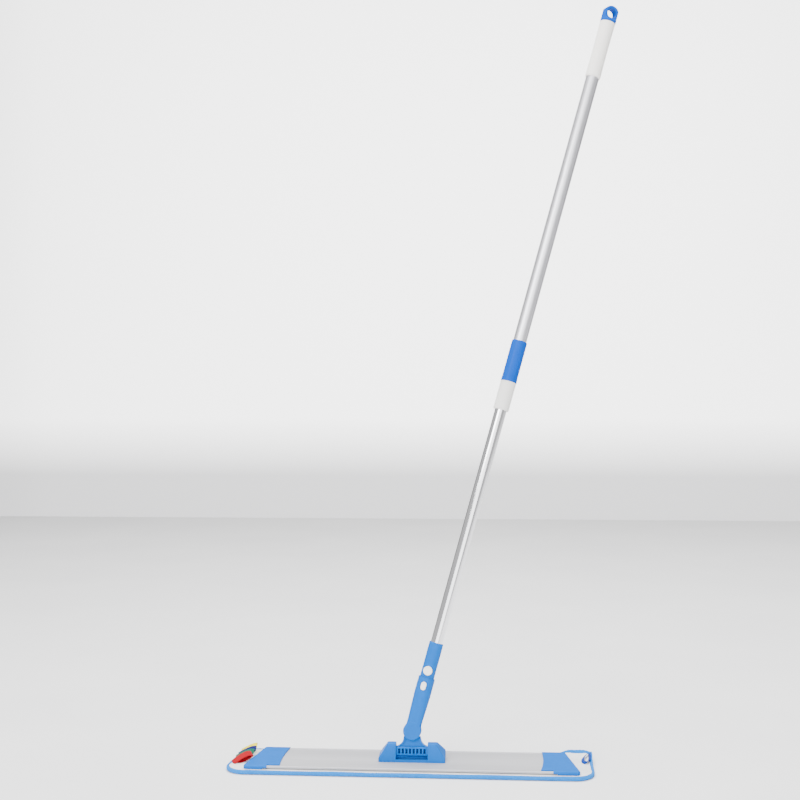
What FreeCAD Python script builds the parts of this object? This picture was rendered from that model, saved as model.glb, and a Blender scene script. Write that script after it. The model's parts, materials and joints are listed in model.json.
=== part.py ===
import FreeCAD, Part
import math
import os

# Flat mop with a telescopic pole. Millimetres, +Z up, origin on the floor
# under the middle of the mop head, +X to the right along the head and +Y
# away from the side that the hand buttons face.

V = FreeCAD.Vector
X = V(1, 0, 0)
Y = V(0, 1, 0)
Z = V(0, 0, 1)

# Pose of the swivel at rest
LEAN_BACK = 10.0
LEAN_RIGHT = 15.3
BUTTON_TURN = 6.5

# Mop pad
PAD_FRONT = -67.6
PAD_BACK = 67.0
PAD_LEFT_FRONT = -339.0
PAD_LEFT_BACK = -317.0
PAD_RIGHT = 325.0
PAD_NOSE_R = 36.0
PAD_CORNER_R = 14.0
PAD_RIGHT_R = 38.0
PILE_H = 5.2
BACKING_TOP = 6.9
BINDING_W = 5.0
BINDING_LOW = 0.6
BINDING_TOP = 7.5
BINDING_ROUND = 1.6

# Colour tags, folded ribbons sewn to the pad's left edge
TAGS = (
    ("tag_yellow", 40.0),
    ("tag_navy", 22.0),
    ("tag_green", 3.0),
    ("tag_red", -18.0),
)
TAG_GAP = 0.3
TAG_T = 0.8
TAG_L = 28.0
TAG_RISE = 13.5
TAG_BULGE = 3.2
TAG_W = 15.0
TAG_Z = 7.0

# Hanging loop, a ribbon on edge at the pad's right end
LOOP_Z0 = 7.0
LOOP_H = 5.0
LOOP_T = 1.1
LOOP_FAR = 12.0
LOOP_ROOT = 54.0
LOOP_MID_X = 311.5
LOOP_HALF_W = 5.5
LOOP_END_R = 5.4
LOOP_ROOT_R = 3.0

# Frame
HEAD_HALF = 300.0
HEAD_HALF_BACK = 277.5
HEAD_DEPTH = 113.2
PLATE_DEPTH = 110.4
PLATE_INSET = 7.0
WEB_LOW = 9.4
WEB_TOP = 11.4
BEAD_LOW = 8.2
BEAD_TOP = 12.8
BEAD_W = 5.0
BEAD_ROUND = 1.9
RIB_Y = 17.0
RIB_W = 2.5
CAP_LOW = 7.6
CAP_TOP = 13.9
CAP_CORNER_R = 7.0
CAP_DOME_R = 3.0
CAP_ARC_IN = 4.0
CAP_FIT = 0.1
CAP_SLIT = 0.4
CAP_TONGUE = 8.0
LEFT_CAP_EDGE = (232.6, 230.0, 256.0)
RIGHT_CAP_EDGE = (228.6, 234.5, 251.5)
STRIP_LOW = 7.2
STRIP_X = 222.0
STRIP_Y0 = 21.0
STRIP_Y1 = 47.0
CAP_SCREW_X = 262.0
CAP_SCREW_Y = 28.0
CAP_SCREW_R = 1.7
CAP_SCREW_HEAD_R = 3.4
CAP_SCREW_HEAD_H = 1.6
CAP_SCREW_TIP = 12.7

# Base bracket
HINGE_Z = 28.5
BRACKET_HALF = 60.0
BRACKET_FRONT = -15.0
BRACKET_BACK = 20.0
BRACKET_TOP = 44.3
BRACKET_FOOT_H = 4.6
BRACKET_ROUND = 2.0
CREST_Y = 3.0
REAR_EDGE_Y = 17.0
REAR_EDGE_Z = 28.0
FACET_FOOT_UP = 2.0
FACET_REAR_Z = 26.5
LEFT_FACET_REAR_X = 55.5
RIGHT_FACET_REAR_X = 60.0
CHEEK_TOP_HALF = 43.0
CHEEK_IN = 28.7
CHEEK_WALL = 5.0
SHELL = 2.8
FLOOR_TOP = 14.2
LIP_TOP = 16.0
LIP_W = 3.0
REAR_WALL_Y = 13.5
REAR_WALL_TOP = 20.5
BRACKET_SCREW_X = 43.5
BRACKET_SCREW_Y = (-6.0, 10.0)
BRACKET_SCREW_R = 1.9
BRACKET_SCREW_HEAD_R = 3.6
BRACKET_SCREW_HEAD_H = 1.7
BRACKET_SCREW_L = 12.0
BOSS_R = 4.2

# Yoke, in its own frame: hinge axis along X through the origin
SIDE_GAP = 0.5
TRUNNION_R = 6.0
RUN = 0.06
FOOT_HALF_T = 8.0
FOOT_LOW = -7.4
FOOT_TOP = 8.0
NECK_HALF = 15.3
NECK_UP = 25.5
NECK_FLARE = 3.4
NECK_FLARE_UP = 6.5
PIVOT_UP = 35.46
LUG_R = 15.0
LUG_HALF_T = 5.0
PANEL_HALF_T = 4.0
RIM_HALF_T = 7.0
RIM_W = 3.2
RIM_STOP_R = 19.2
SLOT_N = 8
SLOT_W = 4.0
SLOT_PITCH = 6.5
SLOT_H = 8.8
SLOT_BACK = 3.0

# Socket, in the pole's frame: swivel axis along Y through the origin, pole +Z
DISC_R = 16.2
DISC_HALF_T = 12.0
DISC_ROUND = 1.4
FORK_GAP = 5.4
PIN_R = 3.0
SOCKET_TOP = 98.0
SLOT_END = 17.0
WAIST_HALF = 13.5
WAIST_DEPTH = 11.5
NECK_R = 14.95
SOCKET_R = 15.3
SOCKET_TOP_R = 15.1
ROUND_FROM = 62.0
NECK_TOP = 70.0
NECK_STEPS = 8
NECK_POINTS = 28
SLEEVE_FROM = 56.0
SLEEVE_FULL = 64.0
ADAPTER_R = 13.0
ADAPTER_LOW = 46.0
ADAPTER_TOP = 163.0
OVAL_AT = 83.0
OVAL_W = 9.8
OVAL_H = 15.4
OVAL_OUT = 15.4
ROUND_AT = 111.0
ROUND_R = 8.2
ROUND_OUT = 13.9
BUTTON_GAP = 0.6
SPRING_WIRE = 0.4
SPRING_TURNS = 5
SPRING_SEAT = 8.6

# Pole tubes
TUBE_R = 11.0
TUBE_IN = 10.1
TUBE_LOW = 92.0
TUBE_TOP = 745.0
OUTER_R = 12.5
OUTER_IN = 11.6
OUTER_LOW = 668.0
BUSH_BORE = 8.0
GRIP_LOW = 1269.0
GRIP_TOP = 1382.0
GRIP_R = 14.1
COLLAR_LOW = 606.0
COLLAR_TOP = 660.6
COLLAR_R = 14.5
SPIGOT_R = 12.9
SLEEVE_LOW = 661.0
SLEEVE_TOP = 740.0
SLEEVE_R = 14.5
COLLET_LOW = 610.0
COLLET_TOP = 641.0
CAP_TIP = 1415.5
EYE_AT = 1400.5
HOOK_TURN = 26.0
EYE_R = 9.25
EYE_HALF_T = 8.0
HOOK_R = 15.0
HOOK_PLUG = 30.0

# Reach of a cutting tool that goes right through
FAR = 120.0


def save(name, shape):
    """Write one node."""
    shape.exportStep("parts/" + name + ".step")


def box(x0, x1, y0, y1, z0, z1):
    return Part.makeBox(x1 - x0, y1 - y0, z1 - z0, V(x0, y0, z0))


def cyl(r, base, axis, length):
    return Part.makeCylinder(r, length, base, axis)


def ring(r_out, r_in, low, high):
    """A tube round the pole's axis."""
    tube = cyl(r_out, V(0, 0, low), Z, high - low)
    return tube.cut(cyl(r_in, V(0, 0, low - 1), Z, high - low + 2))


def rounded_wire(points, radii, z):
    """A closed polygon at height z with a fillet arc at every corner."""
    pts = [V(x, y, z) for x, y in points]
    edges = []
    ends = []
    for i, p in enumerate(pts):
        a = (pts[i - 1] - p).normalize()
        b = (pts[(i + 1) % len(pts)] - p).normalize()
        half = a.getAngle(b) / 2
        reach = radii[i] / math.tan(half)
        mid = (a + b).normalize()
        centre = p + mid * (radii[i] / math.sin(half))
        start = p + a * reach
        end = p + b * reach
        ends.append((start, end))
        edges.append(Part.Arc(start, centre - mid * radii[i], end).toShape())
    outline = []
    for i, arc in enumerate(edges):
        outline.append(arc)
        outline.append(Part.makeLine(ends[i][1], ends[(i + 1) % len(pts)][0]))
    return Part.Wire(outline)


def prism(points, direction):
    """A polygon given by 3-D points, pushed along a vector."""
    pts = list(points) + [points[0]]
    return Part.Face(Part.makePolygon(pts)).extrude(direction)


def fillet_where(shape, radius, test):
    """Round the edges whose bounding box passes a test."""
    edges = [e for e in shape.Edges if test(e.BoundBox)]
    return shape.makeFillet(radius, edges)


def mirrored(shape):
    """The other side's copy, across the head's middle plane."""
    return shape.mirror(V(0, 0, 0), X)


# ---------------------------------------------------------------- mop pad


def pad_wire(inset, z):
    """The pad's outline: a slanted left end, a big front-left nose."""
    points = [
        (PAD_LEFT_FRONT + inset, PAD_FRONT + inset),
        (PAD_RIGHT - inset, PAD_FRONT + inset),
        (PAD_RIGHT - inset, PAD_BACK - inset),
        (PAD_LEFT_BACK + inset, PAD_BACK - inset),
    ]
    radii = [PAD_NOSE_R - inset, PAD_RIGHT_R - inset, PAD_CORNER_R - inset, PAD_CORNER_R - inset]
    return rounded_wire(points, radii, z)


def pad_slab(inset, low, high):
    return Part.Face(pad_wire(inset, low)).extrude(V(0, 0, high - low))


def pad_left_at(y, inset):
    """The left edge, at a given depth, of the outline drawn with that inset."""
    share = (y - PAD_FRONT - inset) / (PAD_BACK - PAD_FRONT - 2 * inset)
    return PAD_LEFT_FRONT + inset + share * (PAD_LEFT_BACK - PAD_LEFT_FRONT)


def pad_binding():
    outer = pad_slab(0, BINDING_LOW, BINDING_TOP)
    inner = pad_slab(BINDING_W, BINDING_LOW - 1, BINDING_TOP + 1)
    band = outer.cut(inner)

    def is_long_rim(b):
        outside = b.YMin < PAD_FRONT + 1 or b.XMax > PAD_RIGHT - 1 or b.YMax > PAD_BACK - 1
        return b.ZLength < 0.01 and outside and max(b.XLength, b.YLength) > PAD_CORNER_R

    return fillet_where(band, BINDING_ROUND, is_long_rim)


def tag_lens(inset):
    """The face between a folded ribbon's two strands, root at the origin."""
    root = V(inset * 1.5, 0, inset * 0.6)
    tip = V(TAG_L - inset * 1.5, 0, TAG_RISE - inset * 0.6)
    mid = (root + tip) * 0.5
    across = V(-TAG_RISE, 0, TAG_L).normalize()
    upper = Part.Arc(root, mid + across * (TAG_BULGE - inset), tip).toShape()
    lower = Part.Arc(root, mid - across * (TAG_BULGE - inset), tip).toShape()
    return Part.Face(Part.Wire([upper, lower]))


def tag(centre_y):
    """One folded ribbon, standing up towards the frame from the pad's left edge."""
    ribbon = tag_lens(0).extrude(V(0, TAG_W, 0))
    ribbon = ribbon.cut(tag_lens(TAG_T).extrude(V(0, TAG_W, 0)))
    root = pad_left_at(centre_y + TAG_W / 2, BINDING_W) + TAG_GAP
    ribbon.translate(V(root, centre_y - TAG_W / 2, TAG_Z))
    return ribbon


def hanging_loop():
    """A ribbon on edge, folded back on itself to leave a narrow eye."""
    outer = [(LOOP_MID_X - LOOP_HALF_W, LOOP_FAR), (LOOP_MID_X + LOOP_HALF_W, LOOP_FAR)]
    outer += [(LOOP_MID_X + LOOP_HALF_W, LOOP_ROOT), (LOOP_MID_X - LOOP_HALF_W, LOOP_ROOT)]
    inner = []
    for x, y in outer:
        sx = LOOP_T if x < LOOP_MID_X else -LOOP_T
        sy = LOOP_T if y < (LOOP_FAR + LOOP_ROOT) / 2 else -LOOP_T
        inner.append((x + sx, y + sy))
    radii = [LOOP_END_R, LOOP_END_R, LOOP_ROOT_R, LOOP_ROOT_R]
    body = Part.Face(rounded_wire(outer, radii, LOOP_Z0)).extrude(V(0, 0, LOOP_H))
    radii = [r - LOOP_T for r in radii]
    eye = Part.Face(rounded_wire(inner, radii, LOOP_Z0 - 1)).extrude(V(0, 0, LOOP_H + 2))
    return body.cut(eye)


# ------------------------------------------------------------------ frame


def head_half_at(y):
    """Half the head's length at a given depth."""
    share = (y + HEAD_DEPTH / 2) / HEAD_DEPTH
    return HEAD_HALF + share * (HEAD_HALF_BACK - HEAD_HALF)


def head_wire(inset, z):
    """The frame's outline: long side in front, rounded corners."""
    front = -HEAD_DEPTH / 2 + inset
    back = HEAD_DEPTH / 2 - inset
    xf = head_half_at(front) - inset
    xb = head_half_at(back) - inset
    points = [(-xf, front), (xf, front), (xb, back), (-xb, back)]
    return rounded_wire(points, [CAP_CORNER_R] * 4, z)


def plate_section():
    """The extrusion's section: web, two beads, two ribs under the web."""
    half = PLATE_DEPTH / 2
    web = box(-HEAD_HALF, HEAD_HALF, -half + 1, half - 1, WEB_LOW, WEB_TOP)
    bead_front = box(-HEAD_HALF, HEAD_HALF, -half, -half + BEAD_W, BEAD_LOW, BEAD_TOP)
    bead_back = box(-HEAD_HALF, HEAD_HALF, half - BEAD_W, half, BEAD_LOW, BEAD_TOP)
    beads = [fillet_where(b, BEAD_ROUND, lambda bb: bb.XLength > HEAD_HALF) for b in (bead_front, bead_back)]
    ribs = []
    for y in (-RIB_Y, RIB_Y):
        ribs.append(box(-HEAD_HALF, HEAD_HALF, y - RIB_W / 2, y + RIB_W / 2, BEAD_LOW, WEB_LOW + 0.5))
    return web.multiFuse(beads + ribs).removeSplitter()


def plate_blank(inset):
    """The extrusion cut to the head's slanted ends."""
    front = -HEAD_DEPTH / 2 - 1
    back = HEAD_DEPTH / 2 + 1
    xf = head_half_at(front) - inset
    xb = head_half_at(back) - inset
    cut = prism([V(-xf, front, 0), V(xf, front, 0), V(xb, back, 0), V(-xb, back, 0)], V(0, 0, 40))
    return plate_section().common(cut)


def cap_screw_places():
    for x in (-CAP_SCREW_X, CAP_SCREW_X):
        for y in (-CAP_SCREW_Y, CAP_SCREW_Y):
            yield x, y


def bracket_screw_places():
    for x in (-BRACKET_SCREW_X, BRACKET_SCREW_X):
        for y in BRACKET_SCREW_Y:
            yield x, y


def plate():
    body = plate_blank(PLATE_INSET)
    for x, y in cap_screw_places():
        body = body.cut(cyl(CAP_SCREW_R + 0.2, V(x, y, 0), Z, FAR))
    for x, y in bracket_screw_places():
        body = body.cut(cyl(BRACKET_SCREW_R + 0.3, V(x, y, 0), Z, FAR))
    return body


def cap_body(edge):
    """The left end cap: a domed shell that wraps the plate's end. The edge gives
    its inner side's x at the front and back, and the x of the front notch."""
    inner_front, inner_back, notch_x = edge
    body = Part.Face(head_wire(0, CAP_LOW)).extrude(V(0, 0, CAP_TOP - CAP_LOW))
    half = HEAD_DEPTH / 2 + 1
    front = V(-inner_front, -half, 0)
    back = V(-inner_back, half, 0)
    arc = Part.Arc(front, (front + back) * 0.5 - V(CAP_ARC_IN, 0, 0), back).toShape()
    far = [back, V(-HEAD_HALF - 40, half, 0), V(-HEAD_HALF - 40, -half, 0), front]
    keep = Part.Face(Part.Wire([arc, Part.makePolygon(far)])).extrude(V(0, 0, 40))
    body = body.common(keep)
    outer_side = -max(inner_front, inner_back) - 5
    body = fillet_where(body, CAP_DOME_R, lambda b: b.ZMin > CAP_TOP - 0.01 and b.XMin < outer_side)
    body = body.cut(plate_grown())
    notch_y = -PLATE_DEPTH / 2 + BEAD_W + CAP_SLIT
    body = body.cut(box(-notch_x, 0, -HEAD_DEPTH, notch_y, 0, 40))
    body = body.cut(box(-notch_x - CAP_TONGUE, 0, -HEAD_DEPTH, HEAD_DEPTH, 0, WEB_LOW + CAP_FIT))
    for x, y in cap_screw_places():
        body = body.cut(cyl(CAP_SCREW_R + 0.05, V(x, y, 0), Z, CAP_SCREW_TIP + 0.3))
        body = body.cut(cyl(CAP_SCREW_HEAD_R + 0.2, V(x, y, 0), Z, CAP_LOW + CAP_FIT + CAP_SCREW_HEAD_H))
    return max(body.Solids, key=lambda solid: solid.Volume)


def plate_grown():
    """The space that the plate's end takes in a cap."""
    gap = CAP_FIT
    blank = plate_blank(PLATE_INSET - 2 * gap)
    pieces = [blank]
    for shift in (V(0, gap, 0), V(0, -gap, 0), V(0, 0, gap), V(0, 0, -gap)):
        moved = blank.copy()
        moved.translate(shift)
        pieces.append(moved)
    return pieces[0].multiFuse(pieces[1:])


def cap_screws():
    screws = []
    for x, y in cap_screw_places():
        head = cyl(CAP_SCREW_HEAD_R, V(x, y, CAP_LOW + CAP_FIT), Z, CAP_SCREW_HEAD_H)
        shank = cyl(CAP_SCREW_R, V(x, y, CAP_LOW + 1), Z, CAP_SCREW_TIP - CAP_LOW - 1)
        screws.append(head.fuse(shank).removeSplitter())
    return Part.makeCompound(screws)


def bracket_screws():
    screws = []
    for x, y in bracket_screw_places():
        head = cyl(BRACKET_SCREW_HEAD_R, V(x, y, WEB_LOW - BRACKET_SCREW_HEAD_H), Z, BRACKET_SCREW_HEAD_H)
        shank = cyl(BRACKET_SCREW_R, V(x, y, WEB_LOW - 1), Z, BRACKET_SCREW_L + 1)
        screws.append(head.fuse(shank).removeSplitter())
    return Part.makeCompound(screws)


def hook_strip(side):
    """Hook tape under the plate, between the bead and a rib."""
    lo, hi = sorted((side * STRIP_Y0, side * STRIP_Y1))
    return box(-STRIP_X, STRIP_X, lo, hi, STRIP_LOW, WEB_LOW)


def facet_cutter(inset, rear_x):
    """Everything outside a right cheek's slanted outer face, which runs from the
    front's sloping edge to a given place on the rear."""
    foot = V(BRACKET_HALF - inset, BRACKET_FRONT, WEB_TOP + BRACKET_FOOT_H + FACET_FOOT_UP)
    top = V(CHEEK_TOP_HALF - inset, BRACKET_FRONT, BRACKET_TOP)
    rear = V(rear_x - inset, REAR_EDGE_Y, FACET_REAR_Z)
    up = top - foot
    along = rear - foot
    corner = foot - up * 2 - along * 2
    face = [corner, corner + up * 6, corner + up * 6 + along * 6, corner + along * 6]
    return prism(face, up.cross(along).normalize() * (-FAR))


def bracket_hull(inset):
    """The bracket's outer form: a low block with a crest and two slanted cheeks, the
    right one flared at the rear."""
    low = WEB_TOP
    knee = low + BRACKET_FOOT_H
    top = BRACKET_TOP - inset
    yf = BRACKET_FRONT + inset
    yb = BRACKET_BACK - inset
    half = BRACKET_HALF - inset
    side = [V(-half, yf, low), V(-half, yf, knee), V(-half, yf + 3.0, top), V(-half, CREST_Y - inset, top)]
    side += [V(-half, REAR_EDGE_Y - inset, REAR_EDGE_Z), V(-half, yb, knee), V(-half, yb, low)]
    block = prism(side, V(2 * half, 0, 0))
    block = block.cut(facet_cutter(inset, RIGHT_FACET_REAR_X))
    return block.cut(mirrored(facet_cutter(inset, LEFT_FACET_REAR_X)))


def base_bracket():
    body = bracket_hull(0)
    body = fillet_where(body, BRACKET_ROUND, lambda b: b.ZMin > WEB_TOP + 1 or b.ZLength > 3)
    body = body.cut(box(-CHEEK_IN, CHEEK_IN, BRACKET_FRONT + LIP_W, REAR_WALL_Y, FLOOR_TOP, FAR))
    body = body.cut(box(-CHEEK_IN, CHEEK_IN, -FAR, REAR_WALL_Y, LIP_TOP, FAR))
    body = body.cut(box(-CHEEK_IN, CHEEK_IN, -FAR, FAR, REAR_WALL_TOP, FAR))
    hollow = bracket_hull(SHELL)
    core = CHEEK_IN + CHEEK_WALL
    body = body.cut(hollow.cut(box(-core, core, -FAR, FAR, 0, FAR)))
    for x, y in bracket_screw_places():
        boss = cyl(BOSS_R, V(x, y, WEB_TOP), Z, BRACKET_TOP - WEB_TOP).common(bracket_hull(0.5))
        body = body.fuse(boss)
    for x, y in bracket_screw_places():
        body = body.cut(cyl(BRACKET_SCREW_R + 0.05, V(x, y, WEB_LOW), Z, BRACKET_SCREW_L + 0.5))
    bearing = cyl(TRUNNION_R + RUN, V(-core - 1, 0, HINGE_Z), X, 2 * (core + 1))
    return body.cut(bearing).removeSplitter()


# ------------------------------------------------------------------- yoke


def place_yoke(shape):
    """From the hinge's own frame to the mop's."""
    shape.rotate(V(0, 0, 0), X, -LEAN_BACK)
    shape.translate(V(0, 0, HINGE_Z))
    return shape


def yoke_outline(inset):
    """Foot, concave shoulders and neck of the yoke, as a face across Y."""
    foot = CHEEK_IN - SIDE_GAP - inset
    neck = NECK_HALF - inset
    low = FOOT_LOW + inset
    bend = V(neck + NECK_FLARE, 0, FOOT_TOP + NECK_FLARE_UP)
    right = [V(foot, 0, low), V(foot, 0, FOOT_TOP)]
    left = [V(-foot, 0, FOOT_TOP), V(-foot, 0, low)]
    edges = [Part.makeLine(left[1], right[0]), Part.makeLine(right[0], right[1])]
    edges.append(Part.Arc(right[1], bend, V(neck, 0, NECK_UP)).toShape())
    edges.append(Part.makeLine(V(neck, 0, NECK_UP), V(-neck, 0, NECK_UP)))
    edges.append(Part.Arc(V(-neck, 0, NECK_UP), V(-bend.x, 0, bend.z), left[0]).toShape())
    edges.append(Part.makeLine(left[0], left[1]))
    return Part.Face(Part.Wire(edges))


def yoke():
    t = RIM_HALF_T
    slab = yoke_outline(0).extrude(V(0, 2 * t, 0))
    slab.translate(V(0, -t, 0))
    inner = yoke_outline(RIM_W).extrude(V(0, 2 * t, 0))
    panel_zone = box(-FAR, FAR, -FAR, FAR, FOOT_TOP, FAR)
    for sign in (-1, 1):
        pocket = inner.common(panel_zone)
        pocket.translate(V(0, sign * (PANEL_HALF_T + t) - t, 0))
        slab = slab.cut(pocket)
    clear = cyl(RIM_STOP_R, V(0, -FAR, PIVOT_UP), Y, 2 * FAR)
    slab = slab.cut(clear)
    foot = box(-CHEEK_IN + SIDE_GAP, CHEEK_IN - SIDE_GAP, -FOOT_HALF_T, FOOT_HALF_T, FOOT_LOW, FOOT_TOP)
    foot = fillet_where(foot, 3.0, lambda b: b.XLength > 40)
    core = yoke_outline(0).extrude(V(0, 2 * PANEL_HALF_T, 0))
    core.translate(V(0, -PANEL_HALF_T, 0))
    lug = cyl(LUG_R, V(0, -LUG_HALF_T, PIVOT_UP), Y, 2 * LUG_HALF_T)
    axle_len = 2 * (CHEEK_IN + CHEEK_WALL - 0.5)
    axle = cyl(TRUNNION_R, V(-axle_len / 2, 0, 0), X, axle_len)
    body = foot.multiFuse([slab, core, lug, axle]).removeSplitter()
    for i in range(SLOT_N):
        x = (i - (SLOT_N - 1) / 2) * SLOT_PITCH
        body = body.cut(box(x - SLOT_W / 2, x + SLOT_W / 2, -FAR, SLOT_BACK, -SLOT_H / 2, SLOT_H / 2))
    body = body.cut(cyl(PIN_R + RUN, V(0, -FAR, PIVOT_UP), Y, 2 * FAR))
    return place_yoke(body)


# ------------------------------------------------------------------- pole


def place_pole(shape):
    """From the pole's own frame, origin at the swivel, to the mop's."""
    shape.rotate(V(0, 0, 0), Y, LEAN_RIGHT)
    shape.translate(V(0, 0, PIVOT_UP))
    return place_yoke(shape)


def ease(share):
    """0 to 1 with a level start and end."""
    share = min(max(share, 0.0), 1.0)
    return share * share * (3 - 2 * share)


def socket_section(z):
    """A squarish oval across the neck, turning into a circle on the way up."""
    widen = ease((z - 12.0) / (ROUND_FROM - 12.0))
    hip = max(0.0, 1 - z / 13.0)
    half_x = WAIST_HALF + (NECK_R - WAIST_HALF) * widen + (DISC_R - 0.6 - WAIST_HALF) * hip * hip
    half_y = WAIST_DEPTH + (NECK_R - WAIST_DEPTH) * widen
    power = 2 / (2.0 + 3.0 * (1 - ease(z / ROUND_FROM)))
    points = []
    for i in range(NECK_POINTS):
        turn = 2 * math.pi * i / NECK_POINTS
        c = math.cos(turn)
        s = math.sin(turn)
        x = math.copysign(abs(c) ** power, c) * half_x
        y = math.copysign(abs(s) ** power, s) * half_y
        points.append(V(x, y, z))
    curve = Part.BSplineCurve()
    curve.interpolate(points, PeriodicFlag=True)
    return Part.Wire(curve.toShape())


def socket():
    neck = Part.makeLoft([socket_section(NECK_TOP * i / NECK_STEPS) for i in range(NECK_STEPS + 1)], True)
    profile = [V(0, 0, SLEEVE_FROM), V(NECK_R - 0.6, 0, SLEEVE_FROM), V(SOCKET_R, 0, SLEEVE_FULL)]
    profile += [V(SOCKET_TOP_R, 0, SOCKET_TOP), V(0, 0, SOCKET_TOP), V(0, 0, SLEEVE_FROM)]
    sleeve = Part.Face(Part.makePolygon(profile)).revolve(V(0, 0, 0), Z, 360)
    disc = cyl(DISC_R, V(0, -DISC_HALF_T, 0), Y, 2 * DISC_HALF_T)
    disc = disc.makeFillet(DISC_ROUND, [e for e in disc.Edges if e.BoundBox.YLength < 0.01])
    body = disc.multiFuse([neck, sleeve])
    body = body.cut(box(-FAR, FAR, -FORK_GAP, FORK_GAP, -FAR, SLOT_END))
    body = body.cut(cyl(PIN_R, V(0, -DISC_HALF_T + 2.5, 0), Y, 2 * DISC_HALF_T))
    body = body.cut(cyl(ADAPTER_R, V(0, 0, ADAPTER_LOW - 0.2), Z, FAR))
    body = body.cut(button_turned(oval_window()))
    return place_pole(body.removeSplitter())


def stadium(half_w, half_h, y0, y1, z):
    """An oval plug across the pole's front wall."""
    r = half_w
    straight = half_h - r
    plug = box(-r, r, y0, y1, z - straight, z + straight)
    ends = [cyl(r, V(0, y0, z + s * straight), Y, y1 - y0) for s in (-1, 1)]
    return plug.multiFuse(ends).removeSplitter()


def oval_window():
    """The opening that the oval button comes through."""
    return stadium(OVAL_W / 2 + BUTTON_GAP, OVAL_H / 2 + BUTTON_GAP, -FAR, 0, OVAL_AT)


def button_turned(shape):
    """The buttons look slightly to the left of the swivel's front."""
    shape.rotate(V(0, 0, 0), Z, -BUTTON_TURN)
    return shape


def swivel_pin():
    pin = cyl(PIN_R, V(0, -DISC_HALF_T + 2.5, 0), Y, 2 * DISC_HALF_T - 3.0)
    return place_pole(pin)


def adapter():
    body = ring(ADAPTER_R, TUBE_R, TUBE_LOW, ADAPTER_TOP)
    body = body.fuse(ring(ADAPTER_R, TUBE_IN, ADAPTER_LOW, TUBE_LOW)).removeSplitter()
    body = fillet_where(body, 1.4, lambda b: b.ZMin > ADAPTER_TOP - 0.01 and b.XLength > 2 * TUBE_R + 1)
    body = body.cut(button_turned(oval_window()))
    body = body.cut(button_turned(cyl(ROUND_R + BUTTON_GAP, V(0, -FAR, ROUND_AT), Y, FAR)))
    return place_pole(body)


def release_button():
    """Oval head through the socket's wall, with a flange behind the adapter's wall."""
    head = stadium(OVAL_W / 2, OVAL_H / 2, -OVAL_OUT, -6.4, OVAL_AT)
    head = fillet_where(head, 1.0, lambda b: b.YMax < 0.01 - OVAL_OUT)
    flange = stadium(OVAL_W / 2 + 0.8, OVAL_H / 2 + 0.8, -7.2, -5.4, OVAL_AT)
    post = cyl(2.4, V(0, -5.6, OVAL_AT), Y, 3.0)
    return place_pole(button_turned(head.multiFuse([flange, post]).removeSplitter()))


def coil(y0, r, z):
    """A compression spring with its axis across the pole, from a button to the back wall."""
    length = SPRING_SEAT - y0
    helix = Part.makeHelix(length / SPRING_TURNS, length, r)
    start = Part.Wire(Part.makeCircle(SPRING_WIRE, V(r, 0, 0), Y))
    body = Part.Wire(helix).makePipeShell([start], True, True)
    body.rotate(V(0, 0, 0), X, -90)
    body.translate(V(0, y0, z))
    return body


def release_spring():
    return place_pole(button_turned(coil(-4.8, 3.3, OVAL_AT)))


def snap_button():
    """Round head in the adapter's and the tube's wall, a retaining bar and a stem."""
    head = cyl(ROUND_R, V(0, -ROUND_OUT, ROUND_AT), Y, 2.6)
    head = fillet_where(head, 0.8, lambda b: b.YMax < 0.01 - ROUND_OUT)
    stem = cyl(2.0, V(0, -11.5, ROUND_AT), Y, 6.5)
    bar = box(-3.0, 3.0, -9.2, -7.8, ROUND_AT - 11.5, ROUND_AT + 11.5)
    return place_pole(button_turned(head.multiFuse([stem, bar]).removeSplitter()))


def snap_spring():
    return place_pole(button_turned(coil(-7.2, 2.7, ROUND_AT)))


def lower_tube():
    body = ring(TUBE_R, TUBE_IN, TUBE_LOW, TUBE_TOP)
    seat = cyl(ROUND_R + BUTTON_GAP, V(0, -FAR, ROUND_AT), Y, FAR)
    return place_pole(body.cut(button_turned(seat)))


def guide_bush():
    shaft = cyl(TUBE_IN, V(0, 0, TUBE_TOP - 14), Z, 14)
    head = cyl(OUTER_IN - 0.08, V(0, 0, TUBE_TOP), Z, 12)
    head = fillet_where(head, 1.0, lambda b: b.ZMin > TUBE_TOP + 11.9)
    body = shaft.fuse(head)
    return place_pole(body.cut(cyl(BUSH_BORE, V(0, 0, TUBE_TOP - FAR / 2), Z, FAR)).removeSplitter())


def collet():
    """Split nylon ring; its slots open downwards."""
    body = ring(SPIGOT_R - 0.05, TUBE_R + 0.08, COLLET_LOW, COLLET_TOP)
    for turn in (0, 90):
        slot = box(-0.8, 0.8, -FAR, FAR, COLLET_LOW - 1, COLLET_TOP - 8)
        slot.rotate(V(0, 0, 0), Z, turn)
        body = body.cut(slot)
    return place_pole(body)


def lock_collar():
    body = ring(COLLAR_R, SPIGOT_R + 0.08, COLLAR_LOW + 3, COLLAR_TOP)
    foot = ring(COLLAR_R, TUBE_R + 0.5, COLLAR_LOW, COLLAR_LOW + 3)
    body = body.fuse(foot).removeSplitter()
    body = fillet_where(body, 1.2, lambda b: b.ZMax < COLLAR_LOW + 0.01 and b.XLength > 2 * COLLAR_R - 1)
    return place_pole(body)


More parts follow.
